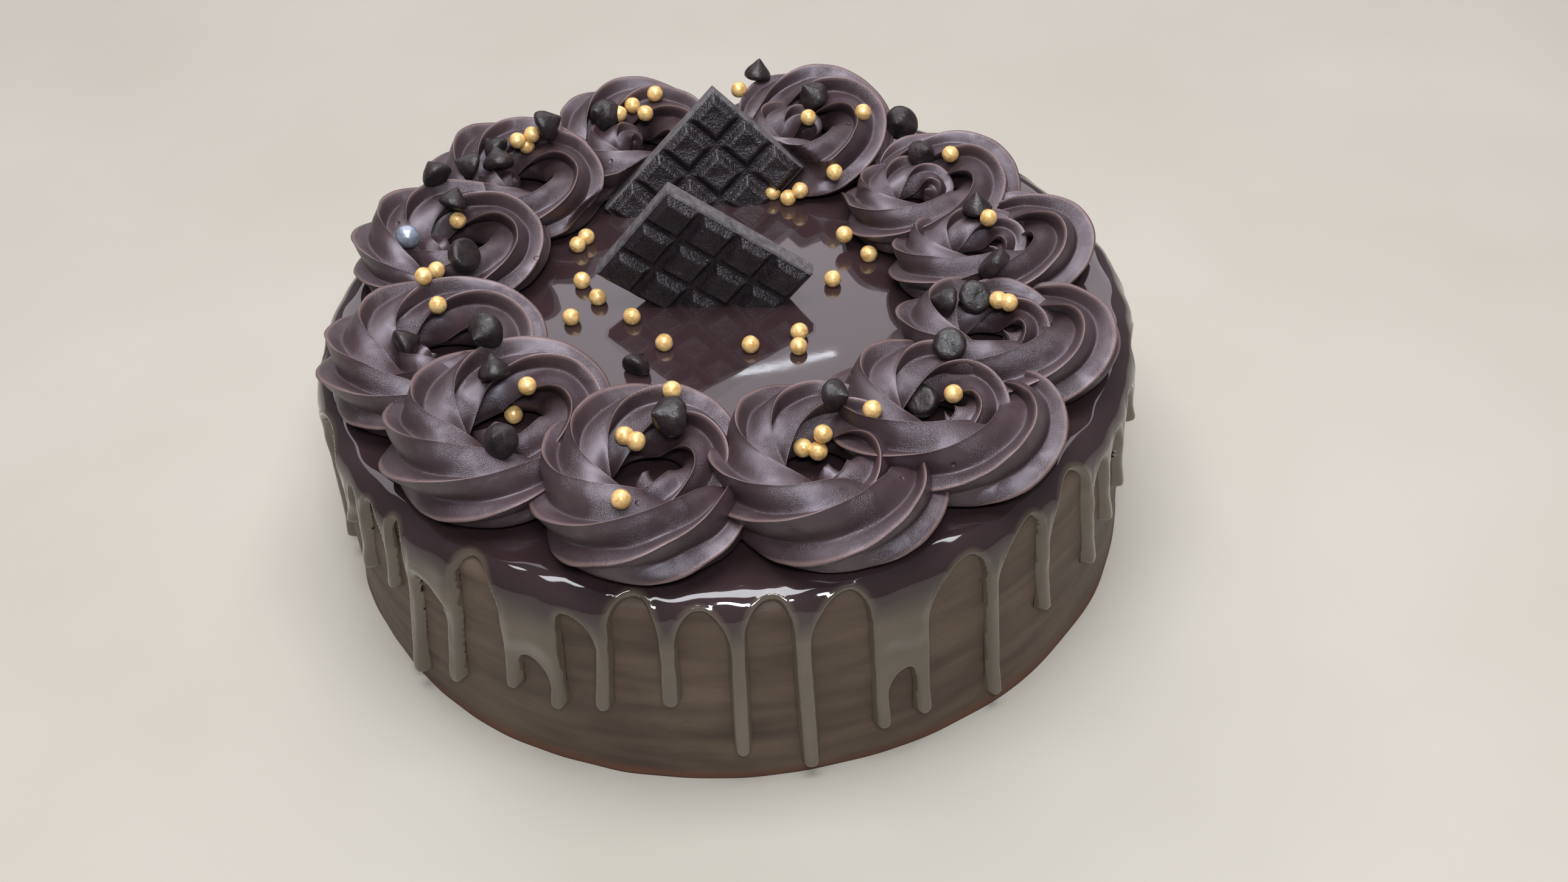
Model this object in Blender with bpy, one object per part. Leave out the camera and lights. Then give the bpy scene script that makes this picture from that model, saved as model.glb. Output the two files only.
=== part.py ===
"""Chocolate truffle cake: a round glazed cake with drips, a ring of twelve piped rosettes, two moulded
chocolate bars, chocolate chips and sugar pearls. The model is in metres, +Z up, with its origin at the
centre of the flat bottom. Every size below is in millimetres and is scaled once, in mesh_object."""

import math

import bmesh
import bpy
import numpy as np
from mathutils import Matrix, Vector
from mathutils.bvhtree import BVHTree

MM = 0.001
GAP = 0.3  # clearance between neighbouring pieces
PIPING_GAP = 1.0  # the same between two rosettes, before their triangles are thinned out

# Cake and glaze, each a turned profile.
TURN_STEPS = 54
CAKE_RADIUS = 107.9
CAKE_TOP = 60.2
CAKE_SHOULDER = 5.2
GLAZE_RADIUS = 109.9
GLAZE_TOP = 62.5
GLAZE_SHOULDER = 7.4
APRON_EDGE = 52.0  # height of the lower edge of the unbroken glaze
APRON_WAVE = 2.0

# Drips seen in front: direction in degrees, height of the tip, width.
FRONT_DRIPS = (
    (-154, 39, 2.6), (-150, 28, 3.6), (-143, 33, 3.0), (-139.5, 5.5, 4.2), (-131.5, 13.5, 4.2),
    (-122, 22.5, 4.0), (-115, 20.5, 4.0), (-108.8, 23.5, 4.3), (-100, 28, 4.8), (-91.5, 10, 5.0),
    (-83, 3, 5.0), (-73, 11, 4.3), (-67.5, 10, 4.0), (-56, 3.5, 4.0), (-47, 22, 3.8),
    (-35.5, 19.5, 3.4), (-30, 26, 3.4), (-24.5, 28, 3.2), (-18, 40, 3.0),
)
# The far side has drips of the same kind.
BACK_DRIPS = 13
BACK_FROM, BACK_TO = -9.0, 197.0
DRIP_BACK = 108.3
DRIP_FRONT = 111.6

# Rosettes: a rope from a star nozzle spirals out anticlockwise and ends in a tail.
RIDGES = 8
RIDGE_DEPTH = 0.36
SPIRAL = 460.0  # how far round the rope goes, in degrees
ROPE_SECTIONS = 21
ROPE_ALONG = (0.0, 0.12, 0.30, 0.50, 0.87, 1.0)
ROPE_PATH = (3.5, 7.5, 14.5, 20.0, 20.0, 22.0)  # distance of the rope from the rosette's centre
ROPE_RADIUS = (6.0, 7.5, 8.5, 9.3, 11.0, 8.0)
ROPE_HEIGHT = 0.85  # height of the rope's centre in rope radii
ROPE_FLOOR = -6.0  # the rope's underside, before the glaze cuts it
NEAREST = 0.6  # the rope's sections stop this far from the rosette's axis
# Direction from the cake's axis, distance, size, direction of the tail, phase of the ridges, squeeze
# between the neighbours, height of the rope's section as a share of its width.
ROSETTES = {
    "rosette_01": (-105.2, 76.0, 1.10, -38, 0, 0.88, 1.00),
    "rosette_02": (-73.6, 78.0, 1.07, -18, 20, 0.92, 1.00),
    "rosette_03": (-47.9, 78.0, 1.06, 12, 10, 0.90, 1.00),
    "rosette_04": (-21.5, 76.0, 1.02, 40, 0, 0.88, 0.95),
    "rosette_05": (9.0, 73.5, 1.00, 72, 20, 0.80, 0.85),
    "rosette_06": (35.0, 71.5, 0.95, 105, 40, 0.88, 0.85),
    "rosette_07": (70.5, 79.0, 0.95, 136, 0, 0.95, 1.00),
    "rosette_08": (107.5, 77.5, 0.95, 170, 25, 0.92, 1.00),
    "rosette_09": (134.0, 81.0, 0.93, 200, 10, 0.92, 1.00),
    "rosette_10": (159.0, 78.5, 0.95, 230, 20, 0.92, 1.00),
    "rosette_11": (195.0, 77.0, 1.02, 255, 5, 0.92, 1.00),
    "rosette_12": (-137.0, 75.5, 1.08, -70, 20, 0.92, 1.00),
}

# Chocolate bars, four segments by three, standing in the glaze on one corner.
BAR_ROOM = 12.0  # the piping keeps this far clear in front of the rear bar
SEGMENT = 11.7
BAR_THICKNESS = 6.2
SEGMENT_RISE = 2.0
SEGMENT_SLOPE = 2.2
GROOVE = 0.5
# Top corner, direction that it faces, backward lean, dip of the right edge, segments right and left.
BARS = {
    "bar_front": ((-12.6, 1.5, 100.8), -95.7, -4.0, 38.0, 4, 3),
    "bar_rear": ((1.5, 58.9, 96.2), -87.5, 15.0, 46.5, 3, 4),
}

PEARL = 2.4
SILVER_PEARL = 3.3
PEARL_SINK = 0.7
# Pearls that lie on the glaze, about the cake's axis.
CENTRE_PEARLS = (
    (15.5, 47), (20.5, 48.5), (24, 52), (33, 53), (35, 30), (40, 20.5), (30, 10), (-37, 38.5),
    (-40.5, 35), (-38.5, 18), (-34, 9.5), (-41.5, 1), (-25, -0.5), (-16.5, -13), (6.5, -16),
    (19.5, -12.5), (18.5, -18.5),
)
# Pearls on each rosette, about its own centre.
ROSETTE_PEARLS = {
    "rosette_01": ((6.5, 19.5), (-6.5, 8), (-3, 5), (-7, -17.5)),
    "rosette_02": ((0, 7), (-5.5, -1.5), (-2, 2.5)),
    "rosette_03": ((-19, -9.5), (2, 2)),
    "rosette_04": ((0.5, 7), (4, 5.5)),
    "rosette_05": ((4.5, 3.5),),
    "rosette_06": ((9, 8.5),),
    "rosette_07": ((2, -7), (-19.5, 5.5), (18.5, 3)),
    "rosette_08": ((7.5, 10.5), (1, 10), (4.5, 3.5), (-3.5, 9)),
    "rosette_09": ((2.5, 14), (-1, 11.5), (1, 7.5)),
    "rosette_10": ((-0.5, 8), (-4.5, -14.5), (-9, -16)),
    "rosette_11": ((1, 9.5),),
    "rosette_12": ((6, 5.5), (3, -2.5)),
}
SILVER_PLACE = ("rosette_10", -12, -5)
# Chocolate chips: kind, place about the cake's axis, size, direction and amount of tilt.
CHIPS = (
    ("drop", 13.5, 93, 4.2, 60, 25), ("drop", 31.5, 84.5, 4.8, 200, 35), ("drop", 55, 64, 5.2, 250, 60),
    ("drop", 59, 53, 4.2, 300, 45), ("drop", 71.5, 23.5, 4.2, 90, 15), ("disc", 73, -7.5, 4.6, 150, 50),
    ("disc", 65, -18, 4.3, 270, 50), ("drop", 57, -25, 4.2, 180, 70), ("disc", 55.5, -41, 4.2, 265, 45),
    ("disc", 47, -61, 4.2, 230, 35), ("drop", 24.5, -59, 4.0, 320, 70), ("drop", -13.5, -60.5, 5.4, 210, 55),
    ("drop", -23.5, -23, 4.4, 80, 30), ("drop", -55.5, -63, 4.6, 250, 40), ("drop", -58.5, -36.5, 4.2, 100, 30),
    ("drop", -60, -22, 5.0, 240, 80), ("drop", -84, -20.5, 4.4, 30, 85), ("disc", -70, 13, 4.6, 330, 50),
    ("drop", -78, 47, 4.4, 120, 65), ("drop", -59.5, 57.5, 4.6, 100, 40), ("drop", -69, 59, 4.2, 190, 60),
    ("drop", -49.5, 72, 4.8, 10, 70), ("drop", -30.5, 81.5, 5.0, 230, 50), ("drop", -62, 67.5, 4.0, 140, 60),
    ("drop", -71.5, 39.5, 4.0, 60, 40),
)
CHIP_SINK = 1.0
CHIP_ROOM = 0.65  # gap between a chip or a pearl and the cream that it's set into
CHIP_REACH = 48  # a rosette is cut by the chips this near to it
CHIP_STEPS = 6

# The most triangles of one rosette, and of the glaze.
ROSETTE_TRIANGLES = 740
GLAZE_TRIANGLES = 3000


def clear_scene():
    for obj in list(bpy.data.objects):
        bpy.data.objects.remove(obj, do_unlink=True)


def material(name, color, roughness):
    made = bpy.data.materials.new(name)
    made.use_nodes = True
    shader = made.node_tree.nodes["Principled BSDF"]
    shader.inputs["Base Color"].default_value = (*color, 1.0)
    shader.inputs["Roughness"].default_value = roughness
    return made


def mesh_object(name, vertices, faces, finish):
    mesh = bpy.data.meshes.new(name)
    mesh.from_pydata([tuple(MM * float(c) for c in v) for v in vertices], [], faces)
    work = bmesh.new()
    work.from_mesh(mesh)
    bmesh.ops.remove_doubles(work, verts=work.verts, dist=1e-6)
    bmesh.ops.dissolve_degenerate(work, edges=work.edges, dist=1e-6)
    bmesh.ops.recalc_face_normals(work, faces=work.faces)
    work.to_mesh(mesh)
    work.free()
    mesh.materials.append(finish)
    obj = bpy.data.objects.new(name, mesh)
    bpy.context.scene.collection.objects.link(obj)
    return obj


def shade(obj, angle=40):
    obj.data.shade_smooth()
    obj.data.set_sharp_from_angle(angle=math.radians(angle))


def loft(sections):
    """Vertices and faces of a tube through sections with equal numbers of points, closed at both ends."""
    count = len(sections[0])
    last = len(sections) - 1
    vertices = [point for section in sections for point in section]
    faces = []
    for i in range(last):
        for j in range(count):
            a, b = i * count + j, i * count + (j + 1) % count
            faces += [(a, b, b + count), (a, b + count, a + count)]
    for ring in (0, last):
        middle = len(vertices)
        vertices.append(np.mean(sections[ring], axis=0))
        faces += [(ring * count + j, ring * count + (j + 1) % count, middle) for j in range(count)]
    return vertices, faces


def turned_faces(steps, count):
    """Faces that join the profiles of a turned shape, count points each, all the way round."""
    faces = []
    for i in range(steps):
        k = (i + 1) % steps
        for j in range(count - 1):
            faces.append((i * count + j, i * count + j + 1, k * count + j + 1, k * count + j))
    return faces


def turned(name, profile_at, finish):
    """A solid of revolution whose profile runs from axis to axis and may change with the direction."""
    rings = []
    for i in range(TURN_STEPS):
        turn = math.tau * i / TURN_STEPS
        rings.append([(r * math.cos(turn), r * math.sin(turn), z) for r, z in profile_at(turn)])
    count = len(rings[0])
    vertices = [point for ring in rings for point in ring]
    return mesh_object(name, vertices, turned_faces(TURN_STEPS, count), finish)


def arc(radius, height, bend, steps):
    """Points of a rounded shoulder that ends at this radius and starts at this height."""
    turns = [math.pi / 2 * i / steps for i in range(steps + 1)]
    return [(radius - bend + bend * math.sin(t), height - bend + bend * math.cos(t)) for t in turns]


def apply_modifier(obj):
    """Makes the mesh that the object's modifier gives the object's own."""
    old = obj.data
    result = bpy.data.meshes.new_from_object(obj.evaluated_get(bpy.context.evaluated_depsgraph_get()))
    obj.modifiers.clear()
    obj.data = result
    bpy.data.meshes.remove(old)
    obj.data.name = obj.name


def boolean(obj, others, operation):
    """Applies one Boolean with a collection of other objects, and removes them."""
    group = bpy.data.collections.new("boolean")
    bpy.context.scene.collection.children.link(group)
    for other in others:
        bpy.context.scene.collection.objects.unlink(other)
        group.objects.link(other)
    modifier = obj.modifiers.new("boolean", "BOOLEAN")
    modifier.operation = operation
    modifier.solver = "EXACT"
    modifier.operand_type = "COLLECTION"
    modifier.collection = group
    apply_modifier(obj)
    for other in others:
        bpy.data.objects.remove(other, do_unlink=True)
    bpy.data.collections.remove(group)


def keep_largest(obj):
    """Drops the loose scraps that a cut leaves, also those that still touch along an edge."""
    work = bmesh.new()
    work.from_mesh(obj.data)
    left = set(work.faces)
    bodies = []
    while left:
        body = []
        front = [left.pop()]
        while front:
            face = front.pop()
            body.append(face)
            for edge in face.edges:
                if len(edge.link_faces) != 2:
                    continue
                for other in edge.link_faces:
                    if other in left:
                        left.discard(other)
                        front.append(other)
        bodies.append(body)
    bodies.sort(key=len)
    for body in bodies[:-1]:
        bmesh.ops.delete(work, geom=body, context="FACES")
    work.to_mesh(obj.data)
    work.free()


def thin_out(obj, triangles):
    """Collapses the short edges that cuts leave, down to this many triangles."""
    obj.data.calc_loop_triangles()
    count = len(obj.data.loop_triangles)
    if count <= triangles:
        return
    modifier = obj.modifiers.new("thin_out", "DECIMATE")
    modifier.ratio = triangles / count
    apply_modifier(obj)


def cake_profile(turn):
    return [(0, CAKE_TOP)] + arc(CAKE_RADIUS, CAKE_TOP, CAKE_SHOULDER, 2) + [(CAKE_RADIUS, 0), (0, 0)]


def apron_edge(turn):
    return APRON_EDGE + APRON_WAVE * (math.sin(5 * turn + 1) + 0.6 * math.sin(13 * turn))


def glaze_profile(turn):
    edge = apron_edge(turn)
    outer = arc(GLAZE_RADIUS, GLAZE_TOP, GLAZE_SHOULDER, 3)
    inner = arc(CAKE_RADIUS + GAP, CAKE_TOP + GAP, CAKE_SHOULDER + GAP, 2)
    wall = [(GLAZE_RADIUS - 0.4, edge), (CAKE_RADIUS + GAP, edge + 0.3)]
    return [(0, GLAZE_TOP)] + outer + wall + inner[::-1] + [(0, CAKE_TOP + GAP)]


def clearance_profile(turn):
    """Everything that pieces standing on the glaze keep clear of."""
    outer = arc(GLAZE_RADIUS + GAP, GLAZE_TOP + GAP, GLAZE_SHOULDER + GAP, 3)
    return [(0, GLAZE_TOP + GAP)] + outer + [(GLAZE_RADIUS + GAP, 0), (0, 0)]


def drip(direction, tip, width, finish):
    """A run of glaze: thin and wide at the shoulder, then a narrow neck and a bulb at its tip."""
    turn = math.radians(direction)
    top = GLAZE_TOP - GLAZE_SHOULDER + 1.5
    bulb = min(0.8 * width, 0.3 * (top - tip))
    thick = DRIP_FRONT - DRIP_BACK
    heights = (top, top - 0.25 * (top - tip), tip + 2.2 * bulb, tip + bulb, tip + 0.3 * bulb)
    widths = (1.7 * width, 1.1 * width, 0.95 * width, 1.15 * width, 0.8 * width)
    depths = (0.42 * thick, 0.85 * thick, 0.9 * thick, 1.1 * thick, 0.75 * thick)
    sections = []
    for z, wide, deep in zip(heights, widths, depths):
        outline = ((-0.5, 0), (-0.3, 0.9), (0.3, 0.9), (0.5, 0))
        section = []
        for side, out in outline:
            r = DRIP_BACK + out * deep
            s = side * wide
            point = (r * math.cos(turn) - s * math.sin(turn), r * math.sin(turn) + s * math.cos(turn), z)
            section.append(point)
        sections.append(section)
    vertices, faces = loft(sections)
    r = DRIP_BACK + 0.35 * thick
    vertices[-1] = (r * math.cos(turn), r * math.sin(turn), tip)
    return mesh_object("drip", vertices, faces, finish)


def back_drips():
    chance = np.random.default_rng(7)
    made = []
    for i in range(BACK_DRIPS):
        direction = BACK_FROM + (BACK_TO - BACK_FROM) * (i + 0.5 + chance.uniform(-0.22, 0.22)) / BACK_DRIPS
        made.append((direction, chance.uniform(6, 34), chance.uniform(3.4, 4.8)))
    return made


def pearl(x, y, z, finish, size=PEARL):
    work = bmesh.new()
    bmesh.ops.create_icosphere(work, subdivisions=1, radius=size * MM)
    bmesh.ops.translate(work, verts=work.verts, vec=Vector((x, y, z)) * MM)
    mesh = bpy.data.meshes.new("pearl")
    work.to_mesh(mesh)
    work.free()
    mesh.materials.append(finish)
    obj = bpy.data.objects.new("pearl", mesh)
    bpy.context.scene.collection.objects.link(obj)
    return obj


def centre_pearls(finish, size=PEARL):
    return [pearl(x, y, GLAZE_TOP + PEARL - PEARL_SINK, finish, size) for x, y in CENTRE_PEARLS]


def rosette_centre(name):
    direction, distance = ROSETTES[name][:2]
    turn = math.radians(direction)
    return distance * math.cos(turn), distance * math.sin(turn)


def smooth_steps(at, known, values):
    """Interpolates and rounds off the corners at the known points."""
    reach = np.linspace(-0.06, 0.06, 9)
    return np.mean([np.interp(np.clip(at + r, 0, 1), known, values) for r in reach], axis=0)


def rope(name, first, last, finish, extra=0.0):
    """The stretch of a rosette's rope between two of its sections, grown by extra all round."""
    direction, distance, size, tail, phase, squeeze, tall = ROSETTES[name]
    outward = math.radians(direction)
    sections = []
    for s in np.linspace(0, 1, ROPE_SECTIONS)[first : last + 1]:
        path = size * float(smooth_steps(s, ROPE_ALONG, ROPE_PATH))
        turn = math.radians(tail - SPIRAL * (1 - s)) + extra / path * (int(s == 1) - int(s == 0))
        radius = size * float(smooth_steps(s, ROPE_ALONG, ROPE_RADIUS))
        middle = GLAZE_TOP + tall * ROPE_HEIGHT * radius
        section = []
        for k in range(2 * RIDGES):
            # Ridges keep their compass direction while the rope turns under them.
            lean = math.radians(phase + 180 * k / RIDGES) - turn + math.pi / 2
            under = min(max((-math.cos(lean) - 0.3) / 0.4, 0), 1)
            depth = RIDGE_DEPTH * (1 - under) * (k % 2)
            reach = radius * (1 - depth) * (1 - 0.1 * under) + extra
            out = max(path + reach * math.sin(lean), NEAREST)
            z = max(middle + tall * reach * math.cos(lean), GLAZE_TOP + ROPE_FLOOR - extra)
            along = distance + out * math.cos(turn - outward)
            across = squeeze * out * math.sin(turn - outward)
            x = along * math.cos(outward) - across * math.sin(outward)
            y = along * math.sin(outward) + across * math.cos(outward)
            section.append((x, y, z))
        sections.append(section)
    vertices, faces = loft(sections)
    return mesh_object("rope", vertices, faces, finish)


def rope_halves(name, finish, extra=0.0):
    middle = ROPE_SECTIONS // 2
    return [rope(name, 0, middle + 1, finish, extra), rope(name, middle, ROPE_SECTIONS - 1, finish, extra)]


def surface_height(tree, x, y):
    hit = tree.ray_cast(Vector((x, y, 200)) * MM, Vector((0, 0, -1)))[0]
    return hit.z / MM if hit else GLAZE_TOP


def block(low, high, slope, to_world, finish):
    """A box between two corners whose top is drawn in by slope on each side."""
    vertices = []
    for z, inset in ((low[2], 0), (high[2], slope)):
        left, right = low[0] + inset, high[0] - inset
        near, far = low[1] + inset, high[1] - inset
        corners = ((left, near), (right, near), (right, far), (left, far))
        vertices += [to_world @ Vector((x, y, z)) for x, y in corners]
    faces = [(0, 1, 2, 3), (4, 5, 6, 7), (0, 1, 5, 4), (1, 2, 6, 5), (2, 3, 7, 6), (3, 0, 4, 7)]
    return mesh_object("block", vertices, faces, finish)


def bar_frame(name):
    """Places a bar: X runs down its right edge, Y down its left edge and Z out of its moulded face."""
    apex, facing, lean, dip = BARS[name][:4]
    turn, tilt, slide = math.radians(facing), math.radians(lean), math.radians(dip)
    face = Vector((math.cos(tilt) * math.cos(turn), math.cos(tilt) * math.sin(turn), math.sin(tilt)))
    side = Vector((-face.y, face.x, 0)).normalized()
    up = face.cross(side)
    right = math.cos(slide) * side - math.sin(slide) * up
    left = -math.sin(slide) * side - math.cos(slide) * up
    return Matrix.Translation(Vector(apex)) @ Matrix((right, left, face)).transposed().to_4x4()


def bar(name, finish):
    """A plate with raised segments whose edges slope, standing on its lower corner."""
    across, down = BARS[name][4:]
    frame = bar_frame(name)
    face = -SEGMENT_RISE
    plate = block((0, 0, -BAR_THICKNESS), (across * SEGMENT, down * SEGMENT, face), 0, frame, finish)
    raised = []
    for i in range(across):
        for j in range(down):
            low = (i * SEGMENT + GROOVE, j * SEGMENT + GROOVE, face - 0.5)
            high = ((i + 1) * SEGMENT - GROOVE, (j + 1) * SEGMENT - GROOVE, 0)
            raised.append(block(low, high, SEGMENT_SLOPE, frame, finish))
    boolean(plate, raised, "UNION")
    plate.name = name
    return plate


def bar_room(name, finish, reach=0.0):
    """The space that a bar and its clearance take, reaching this far out in front of it."""
    across, down = BARS[name][4:]
    low = (-GAP, -GAP, -BAR_THICKNESS - GAP)
    high = (across * SEGMENT + GAP, down * SEGMENT + GAP, GAP + reach)
    return block(low, high, 0, bar_frame(name), finish)


def chip_outline(kind, size, extra=0.0):
    """Half outline of a chip, from its foot up: a drop with a point, or a thick disc."""
    if kind == "drop":
        points = ((0.0, 0.0), (0.8, 0.0), (1.0, 0.3), (0.75, 0.85), (0.3, 1.35), (0.0, 1.55))
    else:
        points = ((0.0, 0.0), (0.85, 0.0), (1.0, 0.15), (1.0, 0.75), (0.85, 0.9), (0.0, 0.9))
    middle = 0.5 * points[-1][1] * size
    grown = []
    for r, z in points:
        height = z * size
        grown.append((r * size + extra * (r > 0), height + math.copysign(extra, height - middle)))
    return grown


def chip(name, kind, spot, size, facing, tilt, finish, extra=0.0):
    """A chocolate chip, tilted away from upright toward the direction that it faces."""
    frame = Matrix.Translation(Vector(spot)) @ Matrix.Rotation(math.radians(facing), 4, "Z")
    frame = frame @ Matrix.Rotation(math.radians(tilt), 4, "Y")
    outline = chip_outline(kind, size, extra)
    rings = []
    for i in range(CHIP_STEPS):
        turn = math.tau * i / CHIP_STEPS
        rings.append([frame @ Vector((r * math.cos(turn), r * math.sin(turn), z)) for r, z in outline])
    vertices = [point for ring in rings for point in ring]
    return mesh_object(name, vertices, turned_faces(CHIP_STEPS, len(outline)), finish)


def chip_spot(trees, kind, x, y, size, tilt):
    """Where the middle of a chip's foot is, when the chip rests on what lies under it."""
    lift = size * math.sin(math.radians(tilt)) * (0.75 if kind == "drop" else 0.9) - CHIP_SINK
    return x, y, max(surface_height(tree, x, y) for tree in trees) + lift


def tree_of(obj):
    return BVHTree.FromObject(obj, bpy.context.evaluated_depsgraph_get())


def pipe_rosette(name, finish):
    """A whole rosette with its pearls."""
    first, second = rope_halves(name, finish)
    boolean(first, [second], "UNION")
    first.name = name
    tree = tree_of(first)
    cx, cy = rosette_centre(name)
    pearls = [(cx + dx, cy + dy, PEARL) for dx, dy in ROSETTE_PEARLS[name]]
    if name == SILVER_PLACE[0]:
        pearls.append((cx + SILVER_PLACE[1], cy + SILVER_PLACE[2], SILVER_PEARL))
    dots = [pearl(x, y, surface_height(tree, x, y) + r - PEARL_SINK, finish, r) for x, y, r in pearls]
    boolean(first, dots, "UNION")
    return first


def build():
    clear_scene()
    ganache = material("ganache", (0.065, 0.040, 0.030), 0.55)
    glossy = material("glaze", (0.030, 0.019, 0.016), 0.12)
    cream = material("cream", (0.075, 0.045, 0.045), 0.42)
    dark = material("dark", (0.012, 0.008, 0.008), 0.35)

    turned("cake", cake_profile, ganache)
    glaze = turned("glaze", glaze_profile, glossy)
    ground = tree_of(glaze)
    runs = [drip(*row, glossy) for row in (*FRONT_DRIPS, *back_drips())]
    boolean(glaze, runs + centre_pearls(glossy), "UNION")
    thin_out(glaze, GLAZE_TRIANGLES)

    names = list(ROSETTES)
    piped = {name: pipe_rosette(name, cream) for name in names}
    trees = [ground] + [tree_of(obj) for obj in piped.values()]
    chips = [
        (kind, chip_spot(trees, kind, x, y, size, tilt), size, facing, tilt)
        for kind, x, y, size, facing, tilt in CHIPS
    ]
    for name, following in zip(names, names[1:] + names[:1]):
        cutters = rope_halves(following, cream, PIPING_GAP)
        cutters.append(turned("clearance", clearance_profile, cream))
        cutters.append(bar_room("bar_rear", cream, BAR_ROOM))
        cutters += centre_pearls(cream, PEARL + CHIP_ROOM)
        middle = Vector((*rosette_centre(name), GLAZE_TOP))
        for row in chips:
            if (Vector(row[1]) - middle).length < CHIP_REACH:
                cutters.append(chip("pocket", *row, cream, CHIP_ROOM))
        boolean(piped[name], cutters, "DIFFERENCE")
        keep_largest(piped[name])
        thin_out(piped[name], ROSETTE_TRIANGLES)
        keep_largest(piped[name])
    for number, row in enumerate(chips, 1):
        made = chip(f"chip_{number:02d}", *row, dark)
        boolean(made, [turned("clearance", clearance_profile, dark)], "DIFFERENCE")
    for name in BARS:
        made = bar(name, dark)
        boolean(made, [turned("clearance", clearance_profile, dark)], "DIFFERENCE")
    for obj in bpy.context.scene.collection.objects:
        shade(obj)


build()
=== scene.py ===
"""Looks of a chocolate truffle cake: glaze with drips, piped rosettes, bars, chips and sugar pearls.

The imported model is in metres. Every size below is in millimetres and is scaled once, in mesh_object.
"""

import math

import bpy
import numpy as np
from mathutils import Matrix, Vector, kdtree
from mathutils.bvhtree import BVHTree

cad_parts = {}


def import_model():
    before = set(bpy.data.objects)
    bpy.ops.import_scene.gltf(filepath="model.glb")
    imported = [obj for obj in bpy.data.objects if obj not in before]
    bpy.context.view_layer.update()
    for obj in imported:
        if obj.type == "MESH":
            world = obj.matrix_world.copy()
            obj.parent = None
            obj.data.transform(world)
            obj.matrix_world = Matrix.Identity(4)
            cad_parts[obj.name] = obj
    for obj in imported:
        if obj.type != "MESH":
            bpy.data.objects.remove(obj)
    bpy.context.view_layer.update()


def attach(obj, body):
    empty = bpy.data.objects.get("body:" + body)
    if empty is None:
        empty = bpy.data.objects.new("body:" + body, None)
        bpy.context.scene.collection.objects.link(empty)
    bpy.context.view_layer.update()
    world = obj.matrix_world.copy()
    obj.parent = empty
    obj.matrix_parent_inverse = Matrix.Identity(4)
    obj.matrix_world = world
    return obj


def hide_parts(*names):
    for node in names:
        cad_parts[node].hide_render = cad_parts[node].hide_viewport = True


MM = 0.001

# The photograph's frame and camera.
PHOTO_WIDTH, PHOTO_HEIGHT = 2576, 1449
FOCAL_PIXELS = 3300
SENSOR_WIDTH = 36
CAMERA_PLACE = (2.47, -431.4, 391.6)
CAMERA_LOOKS = (0.02037, 0.75386, -0.65672)
CAMERA_ROLL = -3.25  # degrees

FLOOR_HALF = 4000  # half a side of the floor
STRIP_ENDS = ((-91, 1250, 1270), (202, 1250, 1179))  # the light strip that the glaze mirrors

# Cake and glaze.
CAKE_RADIUS, CAKE_TOP, CAKE_SHOULDER = 107.9, 60.2, 5.2
GLAZE_RADIUS, GLAZE_TOP, GLAZE_SHOULDER = 109.9, 62.5, 7.4
APRON_FILM = 2.0
DRIP_FILM = 2.4
BULB_FILM = 3.1
EDGE_ROUND = 1.5
DOME, DOME_RADIUS, DOME_REACH = 1.2, 0.040, 0.080  # rise in mm over a radius in metres, and where it ends
RIM_HIGHLIGHT_SHARE = 0.8  # how far the glaze's colour is painted paler along its edge: partly thinner glaze, partly a painted highlight of the edge catching the light
PILLOW = 1.1  # how much thicker the glaze is where it gathers above the drips
NECK_EASE = 7.0  # length over which a drip widens into the glaze between two arches
DRIP_WIDER = 0.7  # what the soft edges of a drip add to its width
GLAZE_CELL = 0.5
COVERED_FROM = 64  # from this far along the side and up, glaze covers everything
EDGE_SEEN_TO = 66  # as far up as the edge's distance is worked out
FAR_FROM_EDGE = 30.0  # the distance kept where it isn't worked out
EDGE_SNAP = 0.28  # points this near to the edge are put on it
FILM_BLUR = 14  # rounds of smoothing of the film's thickness
PILLOW_STARTS, PILLOW_ENDS, PILLOW_INSET = (36, 9), (46, 13), 4.5  # place and length of each end, way in
SIDE_WAVE, SIDE_WAVE_LENGTH = 0.30, 17
TOP_WAVE, TOP_WAVE_LENGTH = 0.15, 70

# Rosettes: a rope from a star nozzle spirals out anticlockwise and ends in a tail.
RIDGES = 6
RIDGE_DEPTH = 0.42
SPIRAL = 460.0  # how far round the rope goes, in degrees
ROPE_ALONG = (0.0, 0.12, 0.30, 0.50, 0.87, 1.0)
ROPE_PATH = (3.5, 7.5, 14.5, 20.0, 20.0, 22.0)  # distance of the rope from the rosette's centre
ROPE_RADIUS = (6.0, 7.5, 8.5, 9.3, 11.0, 8.0)
ROPE_HEIGHT = 0.85  # height of the rope's centre in rope radii
ROPE_FLOOR = -6.0
ROPE_SECTIONS = 134
LIP_HIGHLIGHT_POINTS = (0, 1, 27)  # the places across a ridge that lie on its thin lip, painted a paler colour as a painted highlight
NEAREST = 0.6
VALLEY = 0.84  # where the valley lies from one crest outward to the next
LIP, LIP_BLADE = 0.26, 7.0  # share of the depth that a crest's thin lip takes, and how thin it is
INNER_BLADE = 2.4
HOOK = 6.0  # degrees by which a crest leans outward
ACROSS_RIDGE = (
    0, 0.005, 0.013, 0.025, 0.042, 0.065, 0.095, 0.13, 0.17, 0.22, 0.27, 0.33, 0.39, 0.45, 0.51, 0.57,
    0.63, 0.69, 0.75, 0.80, 0.84, 0.875, 0.905, 0.93, 0.95, 0.966, 0.98, 0.992,
)
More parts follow.
